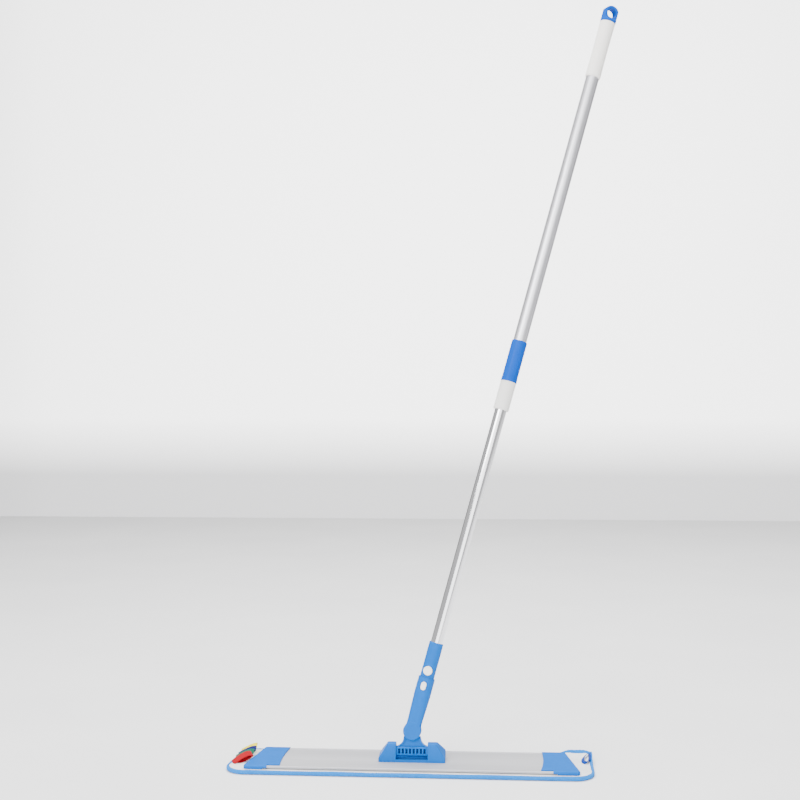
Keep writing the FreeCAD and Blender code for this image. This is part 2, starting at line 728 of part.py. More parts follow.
def lock_sleeve():
    body = ring(SLEEVE_R, OUTER_R, SLEEVE_LOW + 7, SLEEVE_TOP)
    body = fillet_where(body, 1.6, lambda b: b.ZMin > SLEEVE_TOP - 0.01 and b.XLength > 2 * SLEEVE_R - 1)
    skirt = Part.makeCone(SLEEVE_R + 0.7, SLEEVE_R, 9, V(0, 0, SLEEVE_LOW), Z)
    spigot = cyl(SPIGOT_R, V(0, 0, COLLET_TOP), Z, 24)
    lower = skirt.fuse(spigot).cut(cyl(TUBE_R + 0.5, V(0, 0, COLLET_TOP - 1), Z, 60))
    lower = lower.cut(cyl(OUTER_R, V(0, 0, OUTER_LOW), Z, 60))
    return place_pole(body.fuse(lower).removeSplitter())


def upper_tube():
    return place_pole(ring(OUTER_R, OUTER_IN, OUTER_LOW, GRIP_TOP + 1.0))


def grip():
    """Soft sleeve, slightly waisted, with a lip at the bottom."""
    half = (GRIP_LOW + GRIP_TOP) / 2
    side = Part.Arc(V(GRIP_R + 0.5, 0, GRIP_LOW + 3), V(GRIP_R, 0, half), V(GRIP_R + 0.6, 0, GRIP_TOP))
    points = [V(GRIP_R + 0.6, 0, GRIP_TOP), V(OUTER_R, 0, GRIP_TOP), V(OUTER_R, 0, GRIP_LOW)]
    points += [V(GRIP_R - 0.4, 0, GRIP_LOW), V(GRIP_R + 0.5, 0, GRIP_LOW + 3)]
    face = Part.Face(Part.Wire([side.toShape(), Part.makePolygon(points)]))
    return place_pole(face.revolve(V(0, 0, 0), Z, 360))


def hook_cap():
    """Plug in the tube, round foot and a flattened loop with a round eye."""
    foot = GRIP_TOP + 1.0
    r = GRIP_R + 0.8
    outline = box(-r, r, -FAR, FAR, foot, EYE_AT).fuse(cyl(HOOK_R, V(0, -FAR, EYE_AT), Y, 2 * FAR))
    side = [V(-FAR, -r, foot), V(-FAR, -r, foot + 2.5)]
    side += [V(-FAR, -EYE_HALF_T, foot + 9), V(-FAR, -EYE_HALF_T, CAP_TIP + 1)]
    side += [V(p.x, -p.y, p.z) for p in reversed(side)]
    head = outline.common(prism(side, V(2 * FAR, 0, 0))).common(cyl(HOOK_R, V(0, 0, foot), Z, FAR))
    head = head.cut(cyl(EYE_R, V(0, -FAR, EYE_AT), Y, 2 * FAR))
    head = fillet_where(head, 1.2, lambda b: b.YLength < 0.01 and b.ZMax > foot + 12)
    head.rotate(V(0, 0, 0), Z, HOOK_TURN)
    plug = cyl(OUTER_IN, V(0, 0, foot - HOOK_PLUG), Z, HOOK_PLUG + 0.5)
    plug = plug.cut(cyl(9.4, V(0, 0, foot - HOOK_PLUG - 1), Z, HOOK_PLUG - 5))
    return place_pole(head.fuse(plug).removeSplitter())


os.makedirs("parts", exist_ok=True)

save("pad_pile", pad_slab(BINDING_W, 0, PILE_H))
save("pad_backing", pad_slab(BINDING_W, PILE_H, BACKING_TOP))
save("pad_binding", pad_binding())
save("hanging_loop", hanging_loop())
for tag_name, tag_y in TAGS:
    save(tag_name, tag(tag_y))

save("plate", plate())
save("end_cap_left", cap_body(LEFT_CAP_EDGE))
save("end_cap_right", mirrored(cap_body(RIGHT_CAP_EDGE)))
save("end_cap_screws", cap_screws())
save("hook_strip_front", hook_strip(-1))
save("hook_strip_back", hook_strip(1))
save("base_bracket", base_bracket())
save("bracket_screws", bracket_screws())

save("yoke", yoke())
save("socket", socket())
save("swivel_pin", swivel_pin())
save("adapter", adapter())
save("release_button", release_button())
save("release_spring", release_spring())
save("snap_button", snap_button())
save("snap_spring", snap_spring())
save("lower_tube", lower_tube())
save("guide_bush", guide_bush())

save("collet", collet())
save("lock_collar", lock_collar())
save("lock_sleeve", lock_sleeve())
save("upper_tube", upper_tube())
save("grip", grip())
save("hook_cap", hook_cap())
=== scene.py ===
import json
import math
import random

import bmesh
import bpy
from mathutils import Matrix, Vector


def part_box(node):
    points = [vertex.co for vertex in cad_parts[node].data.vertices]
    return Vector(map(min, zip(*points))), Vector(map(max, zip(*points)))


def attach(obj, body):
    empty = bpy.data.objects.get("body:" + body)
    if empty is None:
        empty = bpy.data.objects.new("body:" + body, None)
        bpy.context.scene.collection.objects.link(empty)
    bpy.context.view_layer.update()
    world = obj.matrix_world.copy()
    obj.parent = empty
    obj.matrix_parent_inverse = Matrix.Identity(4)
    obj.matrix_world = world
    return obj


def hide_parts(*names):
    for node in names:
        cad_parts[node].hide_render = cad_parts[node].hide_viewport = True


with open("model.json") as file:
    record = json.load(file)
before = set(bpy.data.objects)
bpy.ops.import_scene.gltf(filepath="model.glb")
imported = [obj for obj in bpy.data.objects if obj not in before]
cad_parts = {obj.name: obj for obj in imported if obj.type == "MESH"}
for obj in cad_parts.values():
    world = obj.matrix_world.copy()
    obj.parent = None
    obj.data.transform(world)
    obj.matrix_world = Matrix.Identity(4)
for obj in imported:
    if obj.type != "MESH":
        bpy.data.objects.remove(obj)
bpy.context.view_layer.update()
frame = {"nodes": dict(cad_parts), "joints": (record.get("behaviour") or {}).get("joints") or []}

MM = 0.001
PI = math.pi
ROUNDED_PI = 3.1416
random.seed(7)

# The mop head's layout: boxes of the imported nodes, and the frame's half length at front and back
PAD_LO, PAD_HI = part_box("pad_binding")
BACKING_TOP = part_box("pad_backing")[1][2]
HEAD_FRONT, HEAD_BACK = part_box("end_cap_left")[0][1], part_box("end_cap_left")[1][1]
HEAD_HALF = 300.0 * MM
HEAD_HALF_BACK = 277.5 * MM

# The pad's outline: half-slanted left end and its corner radii
PAD_FRONT = -67.6 * MM
PAD_BACK = 67.0 * MM
PAD_LEFT_FRONT = -339.0 * MM
PAD_LEFT_BACK = -317.0 * MM
PAD_RIGHT = 325.0 * MM
NOSE_R = 36.0 * MM
RIGHT_R = 38.0 * MM
CORNER_R = 14.0 * MM

# How the back right corner of the pad curls up
CURL_START_IN = 22.0 * MM
CURL_H = 9.8 * MM
CURL_RIM = 24.0 * MM
CURL_ALONG_BACK = 30.0 * MM
CURL_ALONG_SIDE = 40.0 * MM
CURL_SIDE_FROM = 4.0 * MM

# The camera's place and turn
CAMERA_AT = Vector((0.160, -2.361, 0.7615))
CAMERA_YAW = math.radians(4.352)
CAMERA_PITCH = math.radians(2.400)
CAMERA_ROLL = math.radians(-0.21)
CAMERA_LENS = 59.69


def joint(name):
    return next(j for j in frame["joints"] if j["name"] == name)


# The pole's own directions: along it, and across it to the right and back
POLE = Vector(joint("telescope")["axis"]).normalized()
SWIVEL_AXIS = Vector(joint("pole_swing")["axis"]).normalized()
ACROSS = SWIVEL_AXIS.cross(POLE).normalized()


# ------------------------------------------------------------ materials


def srgb(r, g, b):
    """A colour from 0 to 255 as linear values with alpha."""
    out = []
    for c in (r, g, b):
        c /= 255
        out.append(c / 12.92 if c <= 0.04045 else ((c + 0.055) / 1.055) ** 2.4)
    return (*out, 1.0)


class Nodes:
    """A material's node tree with short calls."""

    def __init__(self, name, **sockets):
        self.mat = bpy.data.materials.new(name)
        self.mat.use_nodes = True
        self.tree = self.mat.node_tree
        self.shader = self.tree.nodes["Principled BSDF"]
        for key, value in sockets.items():
            self.shader.inputs[key.replace("_", " ")].default_value = value

    def new(self, kind, **settings):
        node = self.tree.nodes.new(kind)
        for key, value in settings.items():
            if key in node.inputs:
                node.inputs[key].default_value = value
            else:
                setattr(node, key, value)
        return node

    def join(self, out, into):
        self.tree.links.new(out, into)

    def place(self):
        return self.new("ShaderNodeTexCoord").outputs["Object"]

    def dot(self, vector, direction):
        node = self.new("ShaderNodeVectorMath", operation="DOT_PRODUCT")
        self.join(vector, node.inputs[0])
        node.inputs[1].default_value = direction
        return node.outputs["Value"]

    def pole_place(self, stretch):
        """Coordinates across, back and along the pole, the last one divided by stretch."""
        place = self.place()
        combine = self.new("ShaderNodeCombineXYZ")
        self.join(self.dot(place, ACROSS), combine.inputs[0])
        self.join(self.dot(place, SWIVEL_AXIS), combine.inputs[1])
        self.join(self.dot(place, POLE / stretch), combine.inputs[2])
        return combine.outputs[0]

    def stretched(self, vector, scale):
        node = self.new("ShaderNodeVectorMath", operation="MULTIPLY")
        self.join(vector, node.inputs[0])
        node.inputs[1].default_value = scale
        return node.outputs[0]

    def noise(self, vector, scale, detail=4.0, rough=0.5):
        node = self.new("ShaderNodeTexNoise", Scale=scale, Detail=detail, Roughness=rough)
        self.join(vector, node.inputs["Vector"])
        return node.outputs["Fac"]

    def wave(self, vector, scale, direction, distortion=0.0):
        node = self.new("ShaderNodeTexWave", bands_direction=direction)
        node.inputs["Scale"].default_value = scale
        node.inputs["Distortion"].default_value = distortion
        self.join(vector, node.inputs["Vector"])
        return node.outputs["Fac"]

    def ramp(self, fac, low, high, a=0.3, b=0.7):
        node = self.new("ShaderNodeValToRGB")
        node.color_ramp.elements[0].position = a
        node.color_ramp.elements[0].color = low
        node.color_ramp.elements[1].position = b
        node.color_ramp.elements[1].color = high
        self.join(fac, node.inputs["Fac"])
        return node.outputs["Color"]

    def span(self, fac, low, high):
        node = self.new("ShaderNodeMapRange")
        node.inputs["To Min"].default_value = low
        node.inputs["To Max"].default_value = high
        self.join(fac, node.inputs["Value"])
        return node.outputs["Result"]

    def maths(self, operation, a, b):
        node = self.new("ShaderNodeMath", operation=operation)
        for i, value in enumerate((a, b)):
            if isinstance(value, (int, float)):
                node.inputs[i].default_value = value
            else:
                self.join(value, node.inputs[i])
        return node.outputs[0]

    def colour(self, out):
        self.join(out, self.shader.inputs["Base Color"])

    def roughness(self, out):
        self.join(out, self.shader.inputs["Roughness"])

    def bump(self, height, distance, strength=1.0):
        """Adds a bump under any that is already there."""
        node = self.new("ShaderNodeBump", Distance=distance, Strength=strength)
        self.join(height, node.inputs["Height"])
        old = self.shader.inputs["Normal"]
        if old.is_linked:
            self.join(old.links[0].from_socket, node.inputs["Normal"])
        self.join(node.outputs["Normal"], old)


def shade(colour, factor):
    return (*[min(1.0, c * factor) for c in colour[:3]], 1.0)


def plastic(name, colour, rough=0.32, texture=0.02, vary=0.06):
    """Moulded plastic: faint mould texture, slightly uneven gloss and colour."""
    m = Nodes(name, IOR=1.2, Specular_IOR_Level=0.2)
    place = m.place()
    cloud = m.noise(place, 22.0, 3.0)
    m.colour(m.ramp(cloud, shade(colour, 1 - vary), shade(colour, 1 + vary)))
    m.roughness(m.span(m.noise(place, 160.0, 5.0), rough - 0.06, rough + 0.09))
    m.bump(m.noise(place, 1500.0, 3.0), texture * MM)
    m.bump(m.noise(place, 60.0, 2.0), 0.08 * MM, 0.5)
    return m.mat


def tube_metal(name, colour, rough, streak, along=True, metallic=1.0):
    """Drawn and anodised aluminium: fine streaks along the tube or plate."""
    m = Nodes(name, Metallic=metallic, Anisotropic=0.35)
    place = m.pole_place(60.0) if along else m.stretched(m.place(), (0.02, 1.0, 1.0))
    fine = m.noise(place, 1400.0, 4.0, 0.6)
    broad = m.noise(place, 160.0, 3.0)
    m.colour(m.ramp(broad, shade(colour, 0.95), shade(colour, 1.04)))
    gloss = m.maths("ADD", m.maths("MULTIPLY", fine, 0.6), m.maths("MULTIPLY", broad, 0.4))
    m.roughness(m.span(gloss, rough - 0.07, rough + 0.07))
    m.bump(fine, streak * MM)
    return m.mat


def steel(name, colour):
    m = Nodes(name, Metallic=1.0)
    place = m.place()
    m.colour(m.ramp(m.noise(place, 300.0), shade(colour, 0.85), shade(colour, 1.1)))
    m.roughness(m.span(m.noise(place, 500.0), 0.22, 0.42))
    m.bump(m.noise(place, 900.0), 0.02 * MM)
    return m.mat


def woven(name, colour, pitch, across=(1.0, 1.0, 1.0), sheen=0.08):
    """Ribbon or tape: crossing threads, a soft sheen and thread-to-thread colour."""
    m = Nodes(name, Sheen_Weight=sheen, Sheen_Roughness=0.4, Specular_IOR_Level=0.1)
    place = m.stretched(m.place(), across)
    scale = 1.0 / (pitch * MM) / ROUNDED_PI
    warp = m.wave(place, scale, "X", 0.6)
    weft = m.wave(place, scale * 1.35, "Y", 0.6)
    thread = m.maths("MAXIMUM", warp, weft)
    fuzz = m.noise(place, 260.0, 5.0)
    tone = m.maths("ADD", m.maths("MULTIPLY", thread, 0.5), m.maths("MULTIPLY", fuzz, 0.5))
    m.colour(m.ramp(tone, shade(colour, 0.72), shade(colour, 1.12), 0.2, 0.8))
    m.roughness(m.span(m.noise(place, 400.0), 0.72, 0.92))
    m.bump(thread, 0.16 * MM)
    m.bump(m.noise(place, 900.0, 4.0), 0.10 * MM)
    return m.mat


def fleece(name, colour, shadow):
    """Short brushed fleece: clumps, fine fibres and a strong soft sheen."""
    m = Nodes(name, Sheen_Weight=0.6, Sheen_Roughness=0.55, Subsurface_Weight=0.08)
    place = m.place()
    clumps = m.noise(place, 230.0, 6.0, 0.65)
    cloud = m.noise(place, 30.0, 3.0)
    tone = m.maths("ADD", m.maths("MULTIPLY", clumps, 0.6), m.maths("MULTIPLY", cloud, 0.4))
    m.colour(m.ramp(tone, shadow, colour, 0.25, 0.62))
    m.roughness(m.span(clumps, 0.85, 1.0))
    m.bump(clumps, 0.7 * MM)
    m.bump(m.noise(m.stretched(place, (1.0, 2.4, 1.0)), 900.0, 5.0, 0.7), 0.3 * MM)
    return m.mat


def pile(name, colour, dark):
    """Looped microfibre pile: rows of small loops, with painted shade in the hollows between the loops and
    a random tone from noise.
    """
    m = Nodes(name, Sheen_Weight=0.5, Sheen_Roughness=0.5)
    place = m.place()
    cells = m.new("ShaderNodeTexVoronoi", Scale=420.0, Randomness=0.8)
    m.join(place, cells.inputs["Vector"])
    loops = m.maths("SUBTRACT", 1.0, cells.outputs["Distance"])
    # Painted shade: the colour falls to the dark colour between the loops, scaled by a random noise tone.
    m.colour(m.ramp(m.maths("MULTIPLY", loops, m.noise(place, 90.0, 4.0)), dark, colour, 0.1, 0.55))
    m.roughness(m.span(loops, 0.95, 0.8))
    m.bump(loops, 0.8 * MM)
    return m.mat


def assign(obj, material):
    obj.data.materials.clear()
    obj.data.materials.append(material)


def dress(node, material):
    """Gives a CAD node a better material in its own slots."""
    for held in frame["nodes"][node].material_slots:
        held.material = material


HEAD_BLUE = (0.0, 0.12, 0.47, 1)
DEEP_BLUE = (0.0, 0.07, 0.42, 1)
OFF_WHITE = (0.93, 0.91, 0.87, 1)
WARM_WHITE = srgb(232, 231, 228)

MATERIALS = {
    "head": plastic("head_blue_plastic", HEAD_BLUE, 0.34),
    "deep": plastic("deep_blue_plastic", DEEP_BLUE, 0.26),
    "button": plastic("button_white_plastic", OFF_WHITE, 0.28, 0.01, 0.02),
    "collar": plastic("collar_white_plastic", WARM_WHITE, 0.36, 0.02, 0.02),
    "grip": plastic("grip_white_soft", OFF_WHITE, 0.5, 0.05, 0.02),
    "nylon": plastic("natural_nylon", srgb(225, 224, 216), 0.45),
    "polished": tube_metal("polished_tube", (0.80, 0.80, 0.82, 1), 0.12, 0.003),
    "satin": tube_metal("satin_tube", (0.72, 0.72, 0.76, 1), 0.42, 0.006),
    "plate": tube_metal("satin_plate", (0.44, 0.44, 0.46, 1), 0.55, 0.008, along=False, metallic=0.25),
    "steel": steel("plain_steel", (0.6, 0.6, 0.62, 1)),
    "hooks": pile("hook_tape", srgb(228, 228, 226), srgb(180, 180, 178)),
    "fleece": fleece("white_fleece", srgb(244, 241, 240), srgb(214, 208, 208)),
    "pile": pile("blue_microfibre_pile", srgb(66, 96, 178), srgb(20, 34, 96)),
    "binding": woven("light_blue_binding", (0.0, 0.19, 0.62, 1), 0.55),
    "thread": woven("binding_thread", (0.0, 0.14, 0.5, 1), 0.3),
    "loop": woven("loop_ribbon", (0.002, 0.04, 0.30, 1), 0.5),
    "tag_yellow": woven("ribbon_yellow", (0.92, 0.74, 0.004, 1), 0.45),
    "tag_navy": woven("ribbon_navy", (0.008, 0.012, 0.13, 1), 0.45),
    "tag_green": woven("ribbon_green", (0.004, 0.12, 0.07, 1), 0.45),
    "tag_red": woven("ribbon_red", (0.36, 0.0, 0.008, 1), 0.45),
}

CAD_LOOKS = {
    "head": ("end_cap_left", "end_cap_right", "base_bracket", "yoke", "socket", "adapter"),
    "deep": ("lock_sleeve", "hook_cap"),
    "button": ("release_button", "snap_button"),
    "collar": ("lock_collar",),
    "grip": ("grip",),
    "nylon": ("collet", "guide_bush"),
    "polished": ("lower_tube",),
    "satin": ("upper_tube",),
    "plate": ("plate",),
    "steel": ("end_cap_screws", "bracket_screws", "swivel_pin", "release_spring", "snap_spring"),
    "hooks": ("hook_strip_front", "hook_strip_back"),
}
for look, names in CAD_LOOKS.items():
    for node_name in names:
        dress(node_name, MATERIALS[look])


# ------------------------------------------------------------- geometry


def mesh_object(name, verts, faces, material, smooth=True):
    data = bpy.data.meshes.new(name)
    data.from_pydata([tuple(v) for v in verts], [], faces)
    data.validate()
    bm = bmesh.new()
    bm.from_mesh(data)
    bmesh.ops.recalc_face_normals(bm, faces=bm.faces)
    bm.to_mesh(data)
    bm.free()
    for p in data.polygons:
        p.use_smooth = smooth
    obj = bpy.data.objects.new(name, data)
    bpy.context.scene.collection.objects.link(obj)
    assign(obj, material)
    return obj


def ease(t):
    t = min(max(t, 0.0), 1.0)
    return t * t * (3 - 2 * t)


def head_half_at(y):
    share = (y - HEAD_FRONT) / (HEAD_BACK - HEAD_FRONT)
    return HEAD_HALF + min(max(share, 0.0), 1.0) * (HEAD_HALF_BACK - HEAD_HALF)


def rim_rise(distance):
    """0 a rim's width in from the edge, rising ever more steeply to 1 at the edge."""
    return min(max(1 - distance / CURL_RIM, 0.0), 1.0) ** 3


def curl(x, y):
    """How far the pad is lifted off the floor at its back right corner: its rim rolls up."""
    start = head_half_at(y) - CURL_START_IN
    back = rim_rise(PAD_BACK - y) * ease((x - start) / CURL_ALONG_BACK)
    side = rim_rise(PAD_RIGHT - x) * ease((y - CURL_SIDE_FROM) / CURL_ALONG_SIDE)
    return CURL_H * (1 - (1 - back) * (1 - side))


def waviness(x, y, reach):
    """A soft, fixed unevenness of the cloth."""
    a = math.sin(x * 61 + 1.3 * math.sin(y * 47)) * math.sin(y * 83 + 0.7)
    b = math.sin(x * 173 + y * 121 + 2.1)
    return reach * (0.65 * a + 0.35 * b)


def rounded_outline(points, radii, step):
    """A closed polygon with round corners, as evenly spaced points and outward normals."""
    track = []
    count = len(points)
    for i in range(count):
        p = Vector(points[i])
        a = (Vector(points[i - 1]) - p).normalized()
        b = (Vector(points[(i + 1) % count]) - p).normalized()
        half = a.angle(b) / 2
        centre = p + (a + b).normalized() * (radii[i] / math.sin(half))
        start = p + a * (radii[i] / math.tan(half))
        end = p + b * (radii[i] / math.tan(half))
        sweep = PI - 2 * half
        steps = max(3, int(radii[i] * sweep / step))
        first = (start - centre).to_2d()
        turn = 1 if (start - centre).to_2d().cross((end - centre).to_2d()) > 0 else -1
        for k in range(steps + 1):
            angle = turn * sweep * k / steps
            c, s = math.cos(angle), math.sin(angle)
            track.append(centre + Vector((first.x * c - first.y * s, first.x * s + first.y * c)))
    length = [0.0]
    closed = track + [track[0]]
    for p, q in zip(closed, closed[1:]):
        length.append(length[-1] + (q - p).length)
    total = length[-1]
    number = int(total / step)
    out = []
    k = 0
    for i in range(number):
        at = total * i / number
        while length[k + 1] < at:
            k += 1
        share = (at - length[k]) / max(length[k + 1] - length[k], 1e-9)
        p = closed[k].lerp(closed[k + 1], share)
        out.append(p)
    normals = []
    for i in range(number):
        tangent = out[(i + 1) % number] - out[i - 1]
        normals.append(Vector((tangent.y, -tangent.x)).normalized())
    return out, normals, total


def pad_outline(inset, step):
    points = [
        (PAD_LEFT_FRONT + inset, PAD_FRONT + inset),
        (PAD_RIGHT - inset, PAD_FRONT + inset),
        (PAD_RIGHT - inset, PAD_BACK - inset),
        (PAD_LEFT_BACK + inset, PAD_BACK - inset),
    ]
    radii = [NOSE_R - inset, RIGHT_R - inset, CORNER_R - inset, CORNER_R - inset]
    return rounded_outline(points, radii, step)


def sweep(name, outline, normals, section, material, place):
    """A closed band: place(point, normal, n, z, i) puts each section corner in space."""
    verts = []
    faces = []
    corners = len(section)
    for i, (p, n) in enumerate(zip(outline, normals)):
        for s in section:
            verts.append(place(p, n, s[0], s[1], i))
    count = len(outline)
    for i in range(count):
        j = (i + 1) % count
        for k in range(corners):
            m = (k + 1) % corners
            faces.append((i * corners + k, i * corners + m, j * corners + m, j * corners + k))
    return mesh_object(name, verts, faces, material)


def tape_section(width, height, low, thick, edge_r, steps=5):
    """A folded tape's section as (n, z): up the outside, round both edges, back inside."""
    outer = [(-width, low)]
    inner = [(-width, low + thick)]
    for k in range(steps + 1):
        a = -PI / 2 + PI / 2 * k / steps
        outer.append((-edge_r + edge_r * math.cos(a), low + edge_r + edge_r * math.sin(a)))
        r = edge_r - thick
        inner.append((-edge_r + r * math.cos(a), low + edge_r + r * math.sin(a)))
    for k in range(steps + 1):
        a = PI / 2 * k / steps
        outer.append((-edge_r + edge_r * math.cos(a), height - edge_r + edge_r * math.sin(a)))
        r = edge_r - thick
        inner.append((-edge_r + r * math.cos(a), height - edge_r + r * math.sin(a)))
    outer.append((-width, height))
    inner.append((-width, height - thick))
    return outer + inner[::-1]


BIND_INNER = 6.0 * MM
BIND_LOW = PAD_LO[2] + 0.1 * MM
BIND_TOP = PAD_HI[2]
BIND_T = 0.9 * MM
BIND_R = 2.6 * MM
STITCH_IN = 4.7 * MM
STITCH_PITCH = 3.4 * MM
STITCH_L = 2.6 * MM
STITCH_R = 0.28 * MM


def make_binding():
    outline, normals, total = pad_outline(0.0, 3.0 * MM)
    section = tape_section(BIND_INNER, BIND_TOP, BIND_LOW, BIND_T, BIND_R)
    phases = [random.uniform(0, 2 * PI) for _ in range(4)]

    def place(p, n, across, z, i):
        s = i * 3.0
        pucker = 0.22 * MM * (math.sin(s * 0.9 + phases[0]) + 0.6 * math.sin(s * 0.37 + phases[1]))
        slump = 0.35 * MM * math.sin(s * 0.045 + phases[2])
        x = p.x + n.x * (across + pucker * 0.5)
        y = p.y + n.y * (across + pucker * 0.5)
        share = (z - BIND_LOW) / (BIND_TOP - BIND_LOW)
        up = z + (pucker * 0.6 + slump) * share
        inner_drop = 0.5 * MM * ease((-across - 3 * MM) / (4 * MM)) * share
        return Vector((x, y, up - inner_drop + curl(x, y)))

    band = sweep("pad_binding_tape", outline, normals, section, MATERIALS["binding"], place)
    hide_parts("pad_binding")
    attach(band, "pad")
    return band, total


def thread_run(name, spots, length, radius, material):
    """A row of stitches: short tapered thread ends, each lying along its direction."""
    verts = []
    faces = []
    sides = 6
    rings = ((-0.5, 0.35), (-0.32, 0.95), (0.0, 1.1), (0.32, 0.95), (0.5, 0.35))
    for at, along, up in spots:
        side = along.cross(up).normalized()
        base = len(verts)
        for share, size in rings:
            sink = radius * 1.1 * (2 * share) ** 2
            for k in range(sides):
                a = 2 * PI * k / sides
                ring = side * math.cos(a) * radius * size + up * (math.sin(a) * radius * size - sink)
                verts.append(at + along * (share * length) + ring)
        for r in range(len(rings) - 1):
            for k in range(sides):
                m = (k + 1) % sides
                a = base + r * sides
                faces.append((a + k, a + m, a + sides + m, a + sides + k))
        faces.append(tuple(base + k for k in range(sides))[::-1])
        last = base + (len(rings) - 1) * sides
        faces.append(tuple(last + k for k in range(sides)))
    return mesh_object(name, verts, faces, material)


def make_binding_stitches():
    outline, normals, _ = pad_outline(STITCH_IN, STITCH_PITCH)
    spots = []
    for i, p in enumerate(outline):
        n = normals[i]
        along = Vector((-n.y, n.x, 0)).normalized()
        at = Vector((p.x, p.y, BIND_TOP - 0.25 * MM + curl(p.x, p.y)))
        spots.append((at, along, Vector((0, 0, 1))))
    run = thread_run("binding_stitches", spots, STITCH_L, STITCH_R, MATERIALS["thread"])
    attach(run, "pad")
    return run


GRID_STEP = 4.0 * MM


def pad_cells(inset, step):
    """The pad's outline moved inwards, with its limits in x and y."""
    outline, normals, _ = pad_outline(inset, step)
    xs = [p.x for p in outline]
    ys = [p.y for p in outline]
    return min(xs), max(xs), min(ys), max(ys), outline


def side_limits(outline, y):
    """The outline's left and right x at a given y."""
    cuts = []
    count = len(outline)
    for i in range(count):
        a, b = outline[i], outline[(i + 1) % count]
        if (a.y - y) * (b.y - y) <= 0 and abs(a.y - b.y) > 1e-9:
            cuts.append(a.x + (b.x - a.x) * (y - a.y) / (b.y - a.y))
    return min(cuts), max(cuts)


def under_frame(x, y):
    """1 under the frame, easing to 0 a little outside it."""
    reach = 7 * MM
    dx = head_half_at(y) - abs(x)
    dy = min(y - HEAD_FRONT, HEAD_BACK - y)
    return ease((min(dx, dy) + reach) / reach)


def fleece_height(x, y, edge):
    """The fleece's top: flat under the frame, soft outside it, pulled down at the binding."""
    pressed = under_frame(x, y)
    free = 0.9 * MM + waviness(x, y, 0.45 * MM)
    pull = 1 - ease(edge / (9 * MM))
    off_crease = (y - 4 * MM - 0.25 * (x - 310 * MM)) / (4 * MM)
    crease = 1.1 * MM * math.exp(-off_crease ** 2) * ease((x - 292 * MM) / (12 * MM))
    return BACKING_TOP - 0.2 * MM + (1 - pressed) * (free - 1.0 * MM * pull - crease) + curl(x, y)


def make_fleece():
    """The white top layer: one sheet, tucked under the binding all round."""
    inset = 3.5 * MM
    x0, x1, y0, y1, outline = pad_cells(inset, 2 * MM)
    rows = int((y1 - y0) / GRID_STEP)
    columns = int((x1 - x0) / GRID_STEP)
    verts = []
    faces = []
    for r in range(rows + 1):
        share = r / rows
        y = y0 + (y1 - y0) * (0.5 - 0.5 * math.cos(PI * share)) * 0.5 + (y1 - y0) * share * 0.5
        y = min(max(y, y0 + 0.02 * MM), y1 - 0.02 * MM)
        left, right = side_limits(outline, y)
        for c in range(columns + 1):
            x = left + (right - left) * c / columns
            edge = min(x - left, right - x, y - y0, y1 - y)
            verts.append(Vector((x, y, fleece_height(x, y, edge))))
    wide = columns + 1
    for r in range(rows):
        for c in range(columns):
            a = r * wide + c
            faces.append((a, a + 1, a + wide + 1, a + wide))
    sheet = mesh_object("pad_fleece_top", verts, faces, MATERIALS["fleece"])
    thick = sheet.modifiers.new("thick", "SOLIDIFY")
    thick.thickness = 1.4 * MM
    thick.offset = -1.0
    apply_modifiers(sheet)
    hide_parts("pad_backing")
    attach(sheet, "pad")
    area = outline_area(outline)
    return sheet


def outline_area(outline):
    count = len(outline)
    twice = sum(outline[i].cross(outline[(i + 1) % count]) for i in range(count))
    return round(abs(twice) / 2, 5)


def apply_modifiers(obj):
    """Puts the modifiers' result into the mesh."""
    bpy.context.view_layer.update()
    graph = bpy.context.evaluated_depsgraph_get()
    data = bpy.data.meshes.new_from_object(obj.evaluated_get(graph))
    obj.modifiers.clear()
    obj.data = data


CORE_TOP = BACKING_TOP - 1.8 * MM
CORE_START_IN = 1.5 * MM
PILE_ROW = 5.2 * MM
PILE_DEPTH = 0.35 * MM
CORE_SWELL = 1.6 * MM


def make_core():
    """The padded core with rows of pile below: a flat slab that puff() fattens to its cap."""
    inset = 3.0 * MM
    x0, x1, y0, y1, outline = pad_cells(inset, 4 * MM)
    rows, columns = 30, 150
    verts = []
    faces = []
    for low in (1, 0):
        for r in range(rows + 1):
            y = y0 + (y1 - y0) * r / rows
            left, right = side_limits(outline, min(max(y, y0 + 0.02 * MM), y1 - 0.02 * MM))
            for c in range(columns + 1):
                x = left + (right - left) * c / columns
                z = CORE_START_IN if low else CORE_TOP - CORE_START_IN
                verts.append(Vector((x, y, z)))
    wide = columns + 1
    layer = wide * (rows + 1)
    for r in range(rows):
        for c in range(columns):
            a = r * wide + c
            faces.append((a, a + wide, a + wide + 1, a + 1))
            faces.append((layer + a, layer + a + 1, layer + a + wide + 1, layer + a + wide))
    rim = [c for c in range(wide)]
    rim += [r * wide + columns for r in range(1, rows + 1)]
    rim += [rows * wide + c for c in range(columns - 1, -1, -1)]
    rim += [r * wide for r in range(rows - 1, 0, -1)]
    for a, b in zip(rim, rim[1:] + rim[:1]):
        faces.append((a, b, layer + b, layer + a))
    core = mesh_object("pad_core", verts, faces, MATERIALS["pile"])
    puff(core, pressure=4.0, frames=20, cap=CORE_SWELL)
    for v in core.data.vertices:
        x, y, z = v.co
        top = CORE_TOP - 0.1 * MM
        rows_of_pile = PILE_DEPTH * (0.5 + 0.5 * math.sin(x * 2 * PI / PILE_ROW))
        floor = rows_of_pile * (0.4 + 0.6 * ease((abs(y) - 40 * MM) / (25 * MM)))
        z = min(max(z, floor), top)
        v.co.z = z + curl(x, y)
    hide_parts("pad_pile")
    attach(core, "pad")
    return core


